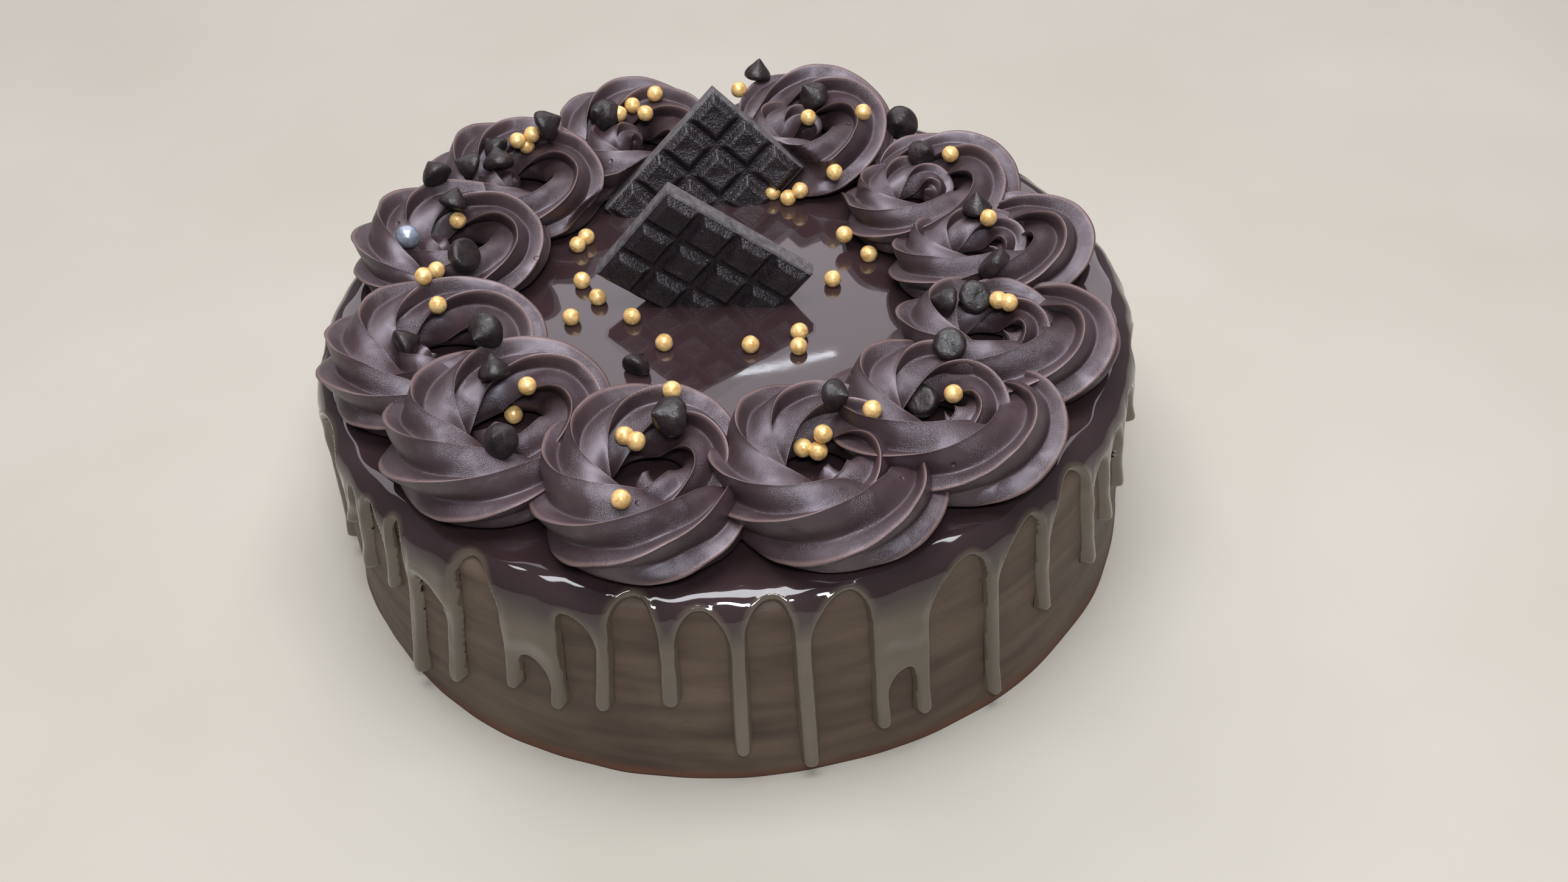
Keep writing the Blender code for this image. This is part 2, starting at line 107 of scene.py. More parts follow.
# Direction from the cake's axis, distance, size, direction of the tail, phase of the ridges, squeeze, height.
ROSETTES = {
    "rosette_01": (-105.2, 76.0, 1.10, -38, 0, 0.88, 1.00),
    "rosette_02": (-73.6, 78.0, 1.07, -18, 20, 0.92, 1.00),
    "rosette_03": (-47.9, 78.0, 1.06, 12, 10, 0.90, 1.00),
    "rosette_04": (-21.5, 76.0, 1.02, 40, 0, 0.88, 0.95),
    "rosette_05": (9.0, 73.5, 1.00, 72, 20, 0.80, 0.85),
    "rosette_06": (35.0, 71.5, 0.95, 105, 40, 0.88, 0.85),
    "rosette_07": (70.5, 79.0, 0.95, 136, 0, 0.95, 1.00),
    "rosette_08": (107.5, 77.5, 0.95, 170, 25, 0.92, 1.00),
    "rosette_09": (134.0, 81.0, 0.93, 200, 10, 0.92, 1.00),
    "rosette_10": (159.0, 78.5, 0.95, 230, 20, 0.92, 1.00),
    "rosette_11": (195.0, 77.0, 1.02, 255, 5, 0.92, 1.00),
    "rosette_12": (-137.0, 75.5, 1.08, -70, 20, 0.92, 1.00),
}

# Chocolate bars.
SEGMENT = 11.7
BAR_THICKNESS = 6.2
SEGMENT_RISE = 2.0
SEGMENT_SLOPE = 2.2
GROOVE = 0.5
PRESS_SLOPE = 1.6  # how fast the cream comes forward beside the rear bar
PRESS_REACH = 20.0  # how far in front of the bar the cream is pushed back
BARS = {
    "bar_front": ((-12.6, 1.5, 100.8), -95.7, -4.0, 38.0, 4, 3),
    "bar_rear": ((1.5, 58.9, 96.2), -87.5, 15.0, 46.5, 3, 4),
}

PEARL, SILVER_PEARL, PEARL_SINK = 2.4, 3.3, 0.7
# Where the middle of each pearl and chip is seen in the photograph, in its pixels.
GOLD_SEEN = (
    (1206, 142), (1076, 154), (1039, 173), (1060, 186), (1017, 187), (1328, 193), (1418, 184), (850, 231),
    (874, 221), (865, 239), (1561, 253), (1371, 283), (1269, 316), (1295, 325), (1314, 313), (1624, 358),
    (752, 362), (1387, 385), (963, 389), (949, 402), (1427, 417), (717, 444), (696, 454), (1368, 458),
    (956, 461), (982, 488), (1640, 493), (1657, 497), (719, 501), (1038, 520), (938, 521), (1313, 545),
    (1312, 569), (1091, 563), (1233, 566), (866, 634), (1104, 641), (1566, 647), (1433, 673), (844, 681),
    (1352, 713), (1026, 716), (1045, 725), (1319, 736), (1344, 741), (1020, 820),
)
SILVER_SEEN = (670, 389)
# Chocolate chips: kind, where it's seen, size, direction and amount of tilt.
CHIPS = (
    ("drop", 1242, 108, 4.2, 60, 25), ("drop", 1332, 153, 4.8, 200, 35), ("drop", 1478, 203, 5.2, 250, 60),
    ("drop", 1517, 251, 4.2, 300, 45), ("drop", 1605, 335, 4.2, 90, 15), ("disc", 1634, 434, 4.6, 150, 50),
    ("disc", 1601, 488, 4.3, 270, 50), ("drop", 1549, 494, 4.2, 180, 70), ("disc", 1560, 566, 4.2, 265, 45),
    ("disc", 1515, 659, 4.2, 230, 35), ("drop", 1377, 649, 4.0, 320, 70), ("drop", 1093, 683, 5.4, 210, 55),
    ("drop", 1048, 596, 4.0, 60, 75), ("drop", 818, 723, 4.6, 250, 40), ("drop", 810, 603, 4.2, 100, 30),
    ("drop", 793, 547, 5.0, 240, 80), ("drop", 670, 563, 4.4, 30, 85), ("disc", 762, 420, 4.6, 330, 50),
    ("drop", 714, 282, 4.4, 120, 65), ("drop", 818, 260, 4.6, 100, 40), ("drop", 766, 270, 4.2, 190, 60),
    ("drop", 902, 202, 4.8, 10, 70), ("drop", 988, 186, 5.0, 230, 50), ("drop", 810, 240, 4.0, 140, 60),
    ("drop", 746, 326, 4.0, 60, 40),
)
CHIP_OUTLINES = {
    "drop": ((0.0, 0.0), (0.7, 0.0), (0.98, 0.22), (0.96, 0.5), (0.72, 0.86), (0.42, 1.14), (0.22, 1.36),
             (0.0, 1.55)),
    "disc": ((0.0, 0.0), (0.8, 0.0), (0.97, 0.12), (1.0, 0.45), (0.97, 0.76), (0.8, 0.9), (0.4, 0.92),
             (0.0, 0.9)),
}
CHIP_CLEAR = 0.62  # height of a chip's middle above what it lies on, in its sizes

# Drips: direction and height of the tip, direction of the foot, width of the neck and of the bulb, then the
# direction and height of the top of the arch that joins the drip to the next one.
DRIPS = (
    (-155.4, 39, -152.6, 2.6, 2.8, -152.3, 57), (-151.9, 28, -149.4, 3.4, 3.8, -146.8, 59),
    (-143.6, 33, -142.5, 2.8, 3.2, -141.2, 61), (-141.4, 5, -137.9, 3.9, 4.3, -137.3, 46),
    (-132.7, 13.4, -130.4, 4.2, 4.5, -127.0, 65), (-122.1, 22.7, -121.5, 3.7, 3.9, -119.2, 36),
    (-115.6, 20.4, -115.0, 3.4, 4.2, -112.9, 55), (-109.2, 23.6, -108.1, 4.0, 4.2, -104.0, 66),
    (-100.2, 28, -99.9, 4.4, 4.6, -95.7, 61), (-91.6, 10, -91.2, 4.2, 4.0, -86.5, 64),
    (-82.9, 3, -83.2, 4.4, 4.2, -76.8, 62), (-73, 10.8, -73.4, 3.9, 4.1, -69.6, 29),
    (-67.2, 11, -67.4, 3.9, 4.2, -60.5, 59), (-55.7, 4, -56.6, 3.5, 3.7, -49.6, 59.5),
    (-46.5, 22, -47.0, 3.3, 3.5, -40.6, 62), (-34.6, 20, -36.4, 3.4, 3.6, -33.5, 54),
    (-28.8, 26, -31.0, 3.2, 3.5, -28.0, 55), (-22.7, 28, -25.0, 3.0, 3.4, -20.8, 57),
    (-16.0, 40, -17.0, 2.8, 3.2, -13.0, 60),
)
BACK_DRIPS = 13
BACK_FROM, BACK_TO = -9.0, 197.0
ARCH_HEIGHT = 15.0
# Heights seen past the shoulder, and the same along it.
V_OF_SEEN_Z = ((0, 56, 58, 62, 66), (0, 56, 57.2, 60.5, 63.2))


# ---------------------------------------------------------------- meshes


def mesh_object(name, vertices, faces, finish, smooth=True):
    mesh = bpy.data.meshes.new(name)
    vertices = np.asarray(vertices, np.float64) * MM
    mesh.from_pydata(vertices.tolist(), [], [list(map(int, f)) for f in faces])
    if smooth:
        mesh.shade_smooth()
    mesh.materials.append(finish)
    obj = bpy.data.objects.new(name, mesh)
    bpy.context.scene.collection.objects.link(obj)
    return obj


def grid_faces(rows, columns, closed):
    """Quads of a grid of points; the columns join up where it is closed."""
    last = columns if closed else columns - 1
    i = np.arange(rows - 1)[:, None] * columns
    j = np.arange(last)[None, :]
    k = (j + 1) % columns
    return np.stack([i + j, i + k, i + columns + k, i + columns + j], -1).reshape(-1, 4)


def smooth_step(x):
    x = np.clip(x, 0, 1)
    return x * x * (3 - 2 * x)


def smooth_steps(at, known, values):
    """Interpolates and rounds off the corners at the known points."""
    reach = np.linspace(-0.06, 0.06, 9)
    return np.mean([np.interp(np.clip(at + r, 0, 1), known, values) for r in reach], axis=0)


def ripple(points, size, seed, octaves=3):
    """A soft random value in about -1..1 for each point, from sums of sines in random directions."""
    chance = np.random.default_rng(seed)
    total = np.zeros(len(points))
    for octave in range(octaves):
        for _ in range(5):
            way = chance.normal(size=3)
            way /= np.linalg.norm(way)
            wave = 2 * math.pi * 2**octave / size * chance.uniform(0.7, 1.3)
            total += np.sin(points @ way * wave + chance.uniform(0, math.tau)) / 2**octave
    return total / 4


# ---------------------------------------------------------------- materials


class Nodes:
    """Shorthand for building a material's nodes."""

    def __init__(self, name):
        self.material = bpy.data.materials.new(name)
        self.material.use_nodes = True
        self.tree = self.material.node_tree
        self.shader = self.tree.nodes["Principled BSDF"]

    def add(self, kind, **inputs):
        node = self.tree.nodes.new(kind)
        for key, value in inputs.items():
            target = key.replace("_", " ")
            if hasattr(node, key):
                setattr(node, key, value)
            elif isinstance(value, bpy.types.NodeSocket):
                self.tree.links.new(value, node.inputs[target])
            else:
                node.inputs[target].default_value = value
        return node

    def place(self):
        return self.add("ShaderNodeTexCoord").outputs["Object"]

    def noise(self, scale, detail=3.0, roughness=0.5, vector=None):
        node = self.add("ShaderNodeTexNoise", Scale=scale, Detail=detail, Roughness=roughness)
        self.tree.links.new(vector or self.place(), node.inputs["Vector"])
        return node.outputs["Fac"]

    def ramp(self, value, *stops):
        node = self.add("ShaderNodeValToRGB")
        ramp = node.color_ramp
        for number, (at, shade) in enumerate(stops):
            stop = ramp.elements[number] if number < 2 else ramp.elements.new(at)
            stop.position = at
            stop.color = (*shade, 1) if isinstance(shade, tuple) else (shade, shade, shade, 1)
        self.tree.links.new(value, node.inputs["Fac"])
        return node.outputs["Color"]

    def math(self, operation, a, b=0.0):
        node = self.tree.nodes.new("ShaderNodeMath")
        node.operation = operation
        for socket, value in zip(node.inputs, (a, b)):
            if isinstance(value, bpy.types.NodeSocket):
                self.tree.links.new(value, socket)
            else:
                socket.default_value = value
        return node.outputs[0]

    def bump(self, *layers):
        """Layers of (height, distance in mm, strength) one on top of another."""
        normal = None
        for height, distance, strength in layers:
            node = self.add("ShaderNodeBump", Strength=strength, Distance=distance * MM)
            self.tree.links.new(height, node.inputs["Height"])
            if normal:
                self.tree.links.new(normal, node.inputs["Normal"])
            normal = node.outputs["Normal"]
        self.tree.links.new(normal, self.shader.inputs["Normal"])

    def link(self, value, socket):
        self.tree.links.new(value, self.shader.inputs[socket])


def cream_material():
    """Whipped chocolate cream: satin, with a fine grain that sparkles and a few open pores, and a paler colour
    painted along the crests' thin lips as a painted highlight.
    """
    made = Nodes("chocolate_cream")
    patch = made.noise(55, 3)
    grain = made.noise(4200, 2, 0.6)
    pores = made.add("ShaderNodeTexVoronoi", Scale=75, Vector=made.place())
    pore = made.ramp(pores.outputs["Distance"], (0.035, 0.0), (0.065, 1.0))
    rough = made.noise(120, 2)
    body = made.ramp(patch, (0.3, (0.033, 0.018, 0.019)), (0.7, (0.049, 0.028, 0.030)))
    # Painted highlight: the crests' thin lips are mixed towards a paler, warmer colour, as if their edges
    # caught the light.
    lip_highlight = made.add("ShaderNodeAttribute")
    lip_highlight.attribute_name = "lip_highlight"
    mix = made.add("ShaderNodeMix", data_type="RGBA")
    for value, number in ((lip_highlight.outputs["Fac"], 0), (body, 6)):
        made.tree.links.new(value, mix.inputs[number])
    mix.inputs[7].default_value = (0.130, 0.080, 0.072, 1)
    made.link(mix.outputs[2], "Base Color")
    made.link(made.ramp(rough, (0.35, 0.46), (0.65, 0.29)), "Roughness")
    fine = made.math("MULTIPLY", grain, made.ramp(rough, (0.42, 0.15), (0.6, 1.0)))
    made.bump((pore, 0.6, 0.8), (fine, 0.26, 0.9))
    made.shader.inputs["Specular IOR Level"].default_value = 0.95
    made.shader.inputs["Specular Tint"].default_value = (0.96, 0.89, 1.0, 1)
    return made.material


def glaze_material():
    """Mirror glaze: dark, wet and smooth; down the side it is painted lighter and more olive, partly for
    thinner glaze and partly as a painted reflection of the pale surface below, and along its edge it is
    painted paler, partly thinner glaze and partly a painted highlight.
    """
    made = Nodes("mirror_glaze")
    patch = made.noise(30, 2)
    dark = made.ramp(patch, (0.3, (0.024, 0.013, 0.014)), (0.7, (0.038, 0.022, 0.024)))
    # Painted reflection: this lighter olive colour stands partly for thinner glaze and partly for the pale
    # surface below mirrored in the side.
    thin_glaze_and_painted_reflection = made.ramp(patch, (0.3, (0.088, 0.068, 0.046)), (0.7, (0.125, 0.100, 0.072)))
    # Below about 55 mm the colour shifts to the olive one: painted reflection on the side and drips.
    height = made.add("ShaderNodeSeparateXYZ", Vector=made.place()).outputs["Z"]
    low = made.add("ShaderNodeMapRange", Value=height)
    low.inputs["From Min"].default_value, low.inputs["From Max"].default_value = 0.0550, 0.0480
    # Painted highlight: within about 2.6 mm of the edge the colour is pushed towards the paler one, partly for
    # thinner glaze at the edge.
    edge = made.add("ShaderNodeAttribute")
    edge.attribute_name = "edge_distance"
    rim = made.add("ShaderNodeMapRange", Value=edge.outputs["Fac"])
    rim.inputs["From Min"].default_value, rim.inputs["From Max"].default_value = 2.6, 0.7
    rim_highlight = made.math("MULTIPLY", rim.outputs["Result"], RIM_HIGHLIGHT_SHARE)
    share = made.math("MAXIMUM", low.outputs["Result"], rim_highlight)
    mix = made.add("ShaderNodeMix", data_type="RGBA")
    for value, number in ((share, 0), (dark, 6), (thin_glaze_and_painted_reflection, 7)):
        made.tree.links.new(value, mix.inputs[number])
    made.link(mix.outputs[2], "Base Color")
    made.link(made.ramp(made.noise(60, 2), (0.3, 0.03), (0.7, 0.07)), "Roughness")
    # The top is slightly domed, so its mirror image of the room is a little smaller.
    flat = made.add("ShaderNodeVectorMath", operation="MULTIPLY")
    made.tree.links.new(made.place(), flat.inputs[0])
    flat.inputs[1].default_value = (1, 1, 0)
    across = made.add("ShaderNodeVectorMath", operation="DOT_PRODUCT")
    made.tree.links.new(flat.outputs[0], across.inputs[0])
    made.tree.links.new(flat.outputs[0], across.inputs[1])
    spread = made.math("MINIMUM", across.outputs["Value"], DOME_REACH**2)
    dome = made.math("MULTIPLY", spread, -1 / DOME_RADIUS**2)
    made.bump((dome, DOME, 1.0), (made.noise(45, 2), 0.8, 0.08), (made.noise(400, 2), 0.1, 0.03))
    made.shader.inputs["Specular IOR Level"].default_value = 0.6
    made.shader.inputs["Coat Weight"].default_value = 0.2
    made.shader.inputs["Coat Roughness"].default_value = 0.03
    return made.material


def side_material():
    """Scraped ganache: bands drawn round the side, fine scratches, scuffs and pits, browner at its foot."""
    made = Nodes("scraped_ganache")
    place = made.place()
    flat = made.add("ShaderNodeMapping", Vector=place)
    flat.inputs["Scale"].default_value = (0.12, 0.12, 1.0)
    along = flat.outputs["Vector"]
    scuffed = made.add("ShaderNodeMapping", Vector=place)
    scuffed.inputs["Scale"].default_value = (0.35, 0.35, 1.0)
    band = made.noise(150, 3, 0.5, along)
    scratch = made.noise(900, 4, 0.6, along)
    scuff = made.noise(170, 3, 0.55, scuffed.outputs["Vector"])
    patch = made.noise(40, 3)
    tone = made.math("ADD", made.math("MULTIPLY", band, 0.5), made.math("MULTIPLY", patch, 0.25))
    tone = made.math("ADD", tone, made.math("MULTIPLY", scuff, 0.25))
    height = made.add("ShaderNodeSeparateXYZ", Vector=place).outputs["Z"]
    ring = made.add("ShaderNodeMapRange", Value=height)
    ring.inputs["From Min"].default_value, ring.inputs["From Max"].default_value = 0.025, 0.037
    ring = made.ramp(ring.outputs["Result"], (0.0, 0.0), (0.5, 1.0), (0.62, 0.9), (0.8, 0.0))
    ring = made.math("MULTIPLY", ring, made.ramp(patch, (0.38, 0.02), (0.58, 0.12)))
    tone = made.math("ADD", tone, ring)
    color = made.ramp(tone, (0.36, (0.052, 0.031, 0.022)), (0.64, (0.118, 0.080, 0.053)))
    foot = made.add("ShaderNodeMapRange", Value=height)
    foot.inputs["From Min"].default_value, foot.inputs["From Max"].default_value = 0.0032, 0.0006
    mix = made.add("ShaderNodeMix", data_type="RGBA")
    for value, number in ((foot.outputs["Result"], 0), (color, 6)):
        made.tree.links.new(value, mix.inputs[number])
    mix.inputs[7].default_value = (0.100, 0.038, 0.020, 1)
    made.link(mix.outputs[2], "Base Color")
    made.link(made.ramp(made.noise(120, 3, 0.5, along), (0.3, 0.48), (0.7, 0.66)), "Roughness")
    pits = made.add("ShaderNodeTexVoronoi", Scale=95, Vector=place)
    pit = made.ramp(pits.outputs["Distance"], (0.05, 0.0), (0.13, 1.0))
    made.bump((band, 1.0, 0.45), (scuff, 0.6, 0.4), (scratch, 0.25, 0.35), (pit, 0.6, 0.4))
    made.shader.inputs["Specular IOR Level"].default_value = 0.4
    return made.material


def bar_material():
    made = Nodes("dark_chocolate")
    wear = made.noise(260, 4)
    made.link(made.ramp(wear, (0.35, (0.010, 0.006, 0.008)), (0.75, (0.024, 0.015, 0.019))), "Base Color")
    made.link(made.ramp(made.noise(500, 3), (0.3, 0.18), (0.7, 0.40)), "Roughness")
    made.bump((made.noise(1500, 3, 0.6), 0.45, 0.9), (made.noise(150, 2), 0.6, 0.2))
    made.shader.inputs["Specular IOR Level"].default_value = 0.7
    return made.material


def bar_edge_material():
    """The rubbed and dusty outside of a bar, painted paler: partly real bloom and wear, partly a painted sheen
    of the light from above that its upper edges reflect.
    """
    made = Nodes("dust_and_sheen_chocolate")
    wear = made.noise(420, 4, 0.65)
    # Painted sheen: these pale greys stand partly for dusty bloom and wear and partly for light from above
    # reflected at the edges.
    made.link(made.ramp(wear, (0.32, (0.052, 0.043, 0.046)), (0.7, (0.150, 0.135, 0.142))), "Base Color")
    made.link(made.ramp(made.noise(500, 3), (0.3, 0.5), (0.7, 0.7)), "Roughness")
    made.bump((made.noise(1100, 4, 0.6), 0.4, 0.6))
    return made.material


def chip_material():
    made = Nodes("chip_chocolate")
    wear = made.noise(300, 4)
    made.link(made.ramp(wear, (0.35, (0.013, 0.009, 0.009)), (0.75, (0.032, 0.022, 0.022))), "Base Color")
    made.link(made.ramp(made.noise(500, 3), (0.3, 0.30), (0.7, 0.50)), "Roughness")
    made.bump((made.noise(420, 3, 0.6), 0.7, 0.5))
    made.shader.inputs["Specular IOR Level"].default_value = 0.4
    return made.material


def pearl_material(name, low, high, metallic):
    made = Nodes(name)
    made.link(made.ramp(made.noise(620, 4, 0.6), (0.38, low), (0.60, high)), "Base Color")
    made.link(made.ramp(made.noise(700, 2), (0.3, 0.22), (0.7, 0.42)), "Roughness")
    made.bump((made.noise(900, 3), 0.3, 0.5))
    made.shader.inputs["Metallic"].default_value = metallic
    return made.material


def floor_material():
    made = Nodes("pale_floor")
    color = made.ramp(made.noise(8, 3), (0.3, (0.385, 0.355, 0.30)), (0.7, (0.42, 0.39, 0.335)))
    made.link(color, "Base Color")
    made.shader.inputs["Roughness"].default_value = 0.6
    made.bump((made.noise(60, 4), 1.0, 0.1))
    return made.material


# ---------------------------------------------------------------- cake and glaze


def arc(radius, height, bend, steps):
    turns = np.linspace(0, math.pi / 2, steps + 1)
    return np.stack([radius - bend + bend * np.sin(turns), height - bend + bend * np.cos(turns)], -1)


CAKE_COLUMNS, CAKE_ROWS = 540, 84
CAKE_TOP_INNER, FOOT_INSET = 60, 3  # the rings inside the top's and the foot's edges
BAND_SQUASH, BAND_LENGTH, BAND_DEPTH = (0.12, 0.12, 1.0), 14, 0.35  # the scraper's marks run level
DENT_LENGTH, DENT_DEPTH = 60, 0.35
SCRAPE_LEAST, SCRAPE_MOST, SCRAPE_IN = -0.5, 0.3, 0.1
FOOT_HEIGHT, FOOT_LENGTH, FOOT_OUT = 2.5, 30, 0.8  # the lower edge bulges unevenly
SCRAPED_FROM, SCRAPED_EASE = 90, 15  # distances from the middle


def make_cake(finish):
    """The body under the glaze, its side scraped round by hand."""
    columns = CAKE_COLUMNS
    side = np.linspace(CAKE_TOP - CAKE_SHOULDER, 0, CAKE_ROWS)[1:]
    outline = np.vstack([
        [[0, CAKE_TOP], [CAKE_TOP_INNER, CAKE_TOP]],
        arc(CAKE_RADIUS, CAKE_TOP, CAKE_SHOULDER, 8),
        np.stack([np.full(len(side), CAKE_RADIUS), side], -1),
        [[CAKE_RADIUS - FOOT_INSET, 0], [0, 0]],
    ])
    turns = np.linspace(0, math.tau, columns, endpoint=False)
    radius, height = np.meshgrid(outline[:, 0], turns, indexing="ij")[0], outline[:, 1][:, None] + 0 * turns
    flat = np.stack([radius * np.cos(turns), radius * np.sin(turns), height], -1).reshape(-1, 3)
    bands = ripple(flat * BAND_SQUASH, BAND_LENGTH, 3, 3) * BAND_DEPTH
    bands = bands + ripple(flat, DENT_LENGTH, 4, 2) * DENT_DEPTH
    foot = smooth_step((FOOT_HEIGHT - flat[:, 2]) / FOOT_HEIGHT)
    foot = foot * (0.5 + 0.5 * ripple(flat, FOOT_LENGTH, 5, 2)) * FOOT_OUT
    reach = np.hypot(flat[:, 0], flat[:, 1])
    near = smooth_step((reach - SCRAPED_FROM) / SCRAPED_EASE)
    shift = near * (np.clip(bands, SCRAPE_LEAST, SCRAPE_MOST) - SCRAPE_IN + foot)
    flat[:, :2] *= (1 + shift / np.maximum(reach, 1))[:, None]
    return mesh_object("cake_body", flat, grid_faces(len(outline), columns, True), finish)


def back_drips():
    chance = np.random.default_rng(7)
    made = []
    step = (BACK_TO - BACK_FROM) / BACK_DRIPS
    for i in range(BACK_DRIPS):
        direction = BACK_FROM + step * (i + 0.5 + chance.uniform(-0.22, 0.22))
        tip, width = chance.uniform(6, 34), chance.uniform(3.4, 4.8)
        made.append((direction, tip, direction, width * 0.95, width, None, 60 + 4 * math.sin(3.7 * i)))
    return made


DRIP_TOP, DRIP_FLARE = 52.0, 7  # where a drip has reached its upper place, and how fast it widens
ARCH_PER_ROOM, ARCH_OVER_DRIP, LEAST_ARCH = 1.1, 4, 2.0
PEAK_INSET = 0.25  # an arch's peak stays this share of its width away from both sides
ARCH_POINTS, BULB_POINTS, EDGE_STEP = 40, 28, 0.2
BULB_FADE = 8  # the film is thicker this far above a drip's end


def glaze_outline():
    """The glaze's lower edge, as points (distance round the side, height along it, film thickness there)."""
    scale = math.radians(1) * GLAZE_RADIUS
    drips = sorted([list(row) for row in (*DRIPS, *back_drips())], key=lambda row: row[2] % 360)
    for row in drips:
        row[3] += DRIP_WIDER
        row[4] += DRIP_WIDER
    count = len(drips)
    around = 360 * scale

    def middle(row, v):
        share = smooth_step((v - row[1]) / (DRIP_TOP - row[1]))
        return (row[0] % 360 + (row[2] - row[0]) * share) * scale

    def half(row, v):
        return 0.5 * (row[4] + (row[3] - row[4]) * smooth_step((v - row[1] - row[4] / 2) / DRIP_FLARE))

    points, arches = [], []
    for i, row in enumerate(drips):
        following = drips[(i + 1) % count]
        wrap = around if i == count - 1 else 0.0
        top = float(np.interp(row[6], *V_OF_SEEN_Z))
        gap = (middle(following, top) + wrap) - middle(row, top)
        room = gap - half(row, top) - half(following, top)
        tall = min(ARCH_HEIGHT, ARCH_PER_ROOM * room, top - max(row[1], following[1]) - ARCH_OVER_DRIP)
        foot = top - max(tall, LEAST_ARCH)
        left = middle(row, foot) + half(row, foot)
        right = middle(following, foot) + wrap - half(following, foot)
        if row[5] is None:
            peak = 0.5 * (left + right)
        else:
            nearest = PEAK_INSET * (right - left)
            peak = min(max((row[5] % 360) * scale, left + nearest), right - nearest)
        arches.append((left, peak, right, foot, top))
        turns = np.linspace(0, math.pi / 2, ARCH_POINTS)
        for t in turns:
            points.append((peak - (peak - left) * math.cos(t), foot + (top - foot) * math.sin(t), 0))
        for t in turns[::-1]:
            points.append((peak + (right - peak) * math.cos(t), foot + (top - foot) * math.sin(t), 0))
    for i, row in enumerate(drips):
        bulb = row[4] / 2
        centre = row[1] + bulb
        x = middle(row, centre)
        for t in np.linspace(0, math.pi, BULB_POINTS):
            points.append((x + bulb * math.cos(t), centre - bulb * math.sin(t), 2))
        for foot, side in ((arches[i][3], 1), (arches[i - 1][3], -1)):
            for v in np.arange(centre, foot, EDGE_STEP):
                share = 1 + smooth_step(1 - (v - centre) / BULB_FADE)
                points.append((middle(row, v) + side * half(row, v), v, share))
    return drips, arches, np.array(points), middle, half, around


def store_values(obj, values, name="edge_distance"):
    """Keeps a value for each point, such as its distance from the glaze's edge, for the material."""
    made = obj.data.attributes.new(name, "FLOAT", "POINT")
    made.data.foreach_set("value", values.astype(np.float32))


def true_edge(edge, inside, rows, around):
    """The edge points that have bare cake beside them, and points along any edge that has none."""
    columns = inside.shape[1]

    def covered(x, v):
        column = np.round(x / around * columns).astype(int) % columns
        row = np.clip(np.round(np.interp(v, rows, np.arange(len(rows)))).astype(int), 0, len(rows) - 1)
        return inside[row, column]

    bare = np.zeros(len(edge), bool)
    for way in np.arange(8) * math.tau / 8:
        bare |= ~covered(edge[:, 0] + 0.8 * math.cos(way), edge[:, 1] + 0.8 * math.sin(way))
    edge = edge[bare]
    known = kdtree.KDTree(3 * len(edge))
    for number, (ex, ev, _) in enumerate(edge):
        for shift in (0, -around, around):
            known.insert((ex + shift, ev, 0), number)
    known.balance()
    extra = []
    for row, column in zip(*np.nonzero(inside != np.roll(inside, 1, 1))):
        point = ((column - 0.5) * around / columns, rows[row], 0)
        if known.find(point)[2] > 1.0:
            extra.append(point)
    for row, column in zip(*np.nonzero(inside[1:] != inside[:-1])):
        point = (column * around / columns, 0.5 * (rows[row] + rows[row + 1]), 0)
        if known.find(point)[2] > 1.0:
            extra.append(point)
    return np.vstack([edge, np.array(extra).reshape(-1, 3)])


